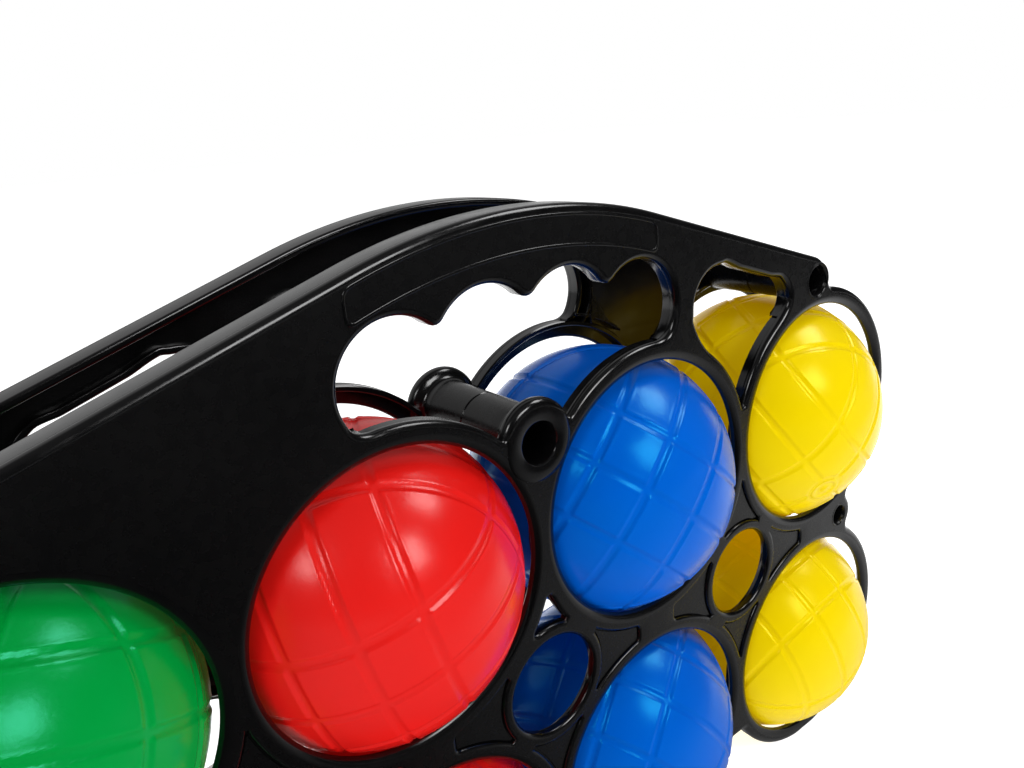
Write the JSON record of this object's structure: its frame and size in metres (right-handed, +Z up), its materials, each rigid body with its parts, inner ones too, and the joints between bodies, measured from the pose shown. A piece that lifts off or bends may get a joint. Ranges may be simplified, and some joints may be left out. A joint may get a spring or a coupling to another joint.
{
  "type": "bocce ball set",
  "caption": "Moulded twin-plate carrier with a finger-grip handle, holding two rows of grooved playing balls and a small target ball that push out through flexible rings.",
  "frame": {"origin": "bottom centre of the carrier, midway between its two mouldings, on the surface it stands on", "axes": "+X along the rows from the green column to the yellow column, +Y from the front moulding to the rear moulding, +Z up"},
  "size_m": [0.3044, 0.074, 0.1977],
  "materials": {
    "black_plastic": "satin injection-moulded black plastic, glossy on the rounded lips",
    "green_plastic": "satin-gloss blow-moulded green plastic",
    "red_plastic": "satin-gloss blow-moulded red plastic",
    "blue_plastic": "satin-gloss blow-moulded blue plastic",
    "yellow_plastic": "satin-gloss blow-moulded yellow plastic",
    "white_plastic": "smooth off-white plastic",
    "screw_steel": "zinc-plated steel"
  },
  "bodies": {
    "carrier": {"front_moulding": "black_plastic", "rear_moulding": "black_plastic", "lip_green_upper": "black_plastic", "lip_red_upper": "black_plastic", "lip_blue_upper": "black_plastic", "lip_yellow_upper": "black_plastic", "lip_green_lower": "black_plastic", "lip_red_lower": "black_plastic", "lip_blue_lower": "black_plastic", "lip_yellow_lower": "black_plastic", "lip_jack": "black_plastic", "post_screws": "screw_steel"},
    "ball_green_upper": {"ball_green_upper": "green_plastic", "plug_green_upper": "green_plastic"},
    "ball_red_upper": {"ball_red_upper": "red_plastic", "plug_red_upper": "red_plastic"},
    "ball_blue_upper": {"ball_blue_upper": "blue_plastic", "plug_blue_upper": "blue_plastic"},
    "ball_yellow_upper": {"ball_yellow_upper": "yellow_plastic", "plug_yellow_upper": "yellow_plastic"},
    "ball_green_lower": {"ball_green_lower": "green_plastic", "plug_green_lower": "green_plastic"},
    "ball_red_lower": {"ball_red_lower": "red_plastic", "plug_red_lower": "red_plastic"},
    "ball_blue_lower": {"ball_blue_lower": "blue_plastic", "plug_blue_lower": "blue_plastic"},
    "ball_yellow_lower": {"ball_yellow_lower": "yellow_plastic", "plug_yellow_lower": "yellow_plastic"},
    "jack": {"jack": "white_plastic"}
  },
  "joints": [
    {"name": "green_upper_pull_out", "type": "slide", "parent": "carrier", "child": "ball_green_upper", "axis": [0, -0.9931, 0.1176], "range_m": [0, 0.066], "deforming": ["lip_green_upper"]},
    {"name": "red_upper_pull_out", "type": "slide", "parent": "carrier", "child": "ball_red_upper", "axis": [0, -0.9931, 0.1176], "range_m": [0, 0.066], "deforming": ["lip_red_upper"]},
    {"name": "blue_upper_pull_out", "type": "slide", "parent": "carrier", "child": "ball_blue_upper", "axis": [0, -0.9931, 0.1176], "range_m": [0, 0.066], "deforming": ["lip_blue_upper"]},
    {"name": "yellow_upper_pull_out", "type": "slide", "parent": "carrier", "child": "ball_yellow_upper", "axis": [0, -0.9931, 0.1176], "range_m": [0, 0.066], "deforming": ["lip_yellow_upper"]},
    {"name": "green_lower_pull_out", "type": "slide", "parent": "carrier", "child": "ball_green_lower", "axis": [0, -0.9945, 0.1047], "range_m": [0, 0.066], "deforming": ["lip_green_lower"]},
    {"name": "red_lower_pull_out", "type": "slide", "parent": "carrier", "child": "ball_red_lower", "axis": [0, -0.9945, 0.1047], "range_m": [0, 0.066], "deforming": ["lip_red_lower"]},
    {"name": "blue_lower_pull_out", "type": "slide", "parent": "carrier", "child": "ball_blue_lower", "axis": [0, -0.9945, 0.1047], "range_m": [0, 0.066], "deforming": ["lip_blue_lower"]},
    {"name": "yellow_lower_pull_out", "type": "slide", "parent": "carrier", "child": "ball_yellow_lower", "axis": [0, -0.9945, 0.1047], "range_m": [0, 0.066], "deforming": ["lip_yellow_lower"]},
    {"name": "jack_pull_out", "type": "slide", "parent": "carrier", "child": "jack", "axis": [0, -0.9325, 0.3611], "range_m": [0, 0.045], "deforming": ["lip_jack"]}
  ]
}
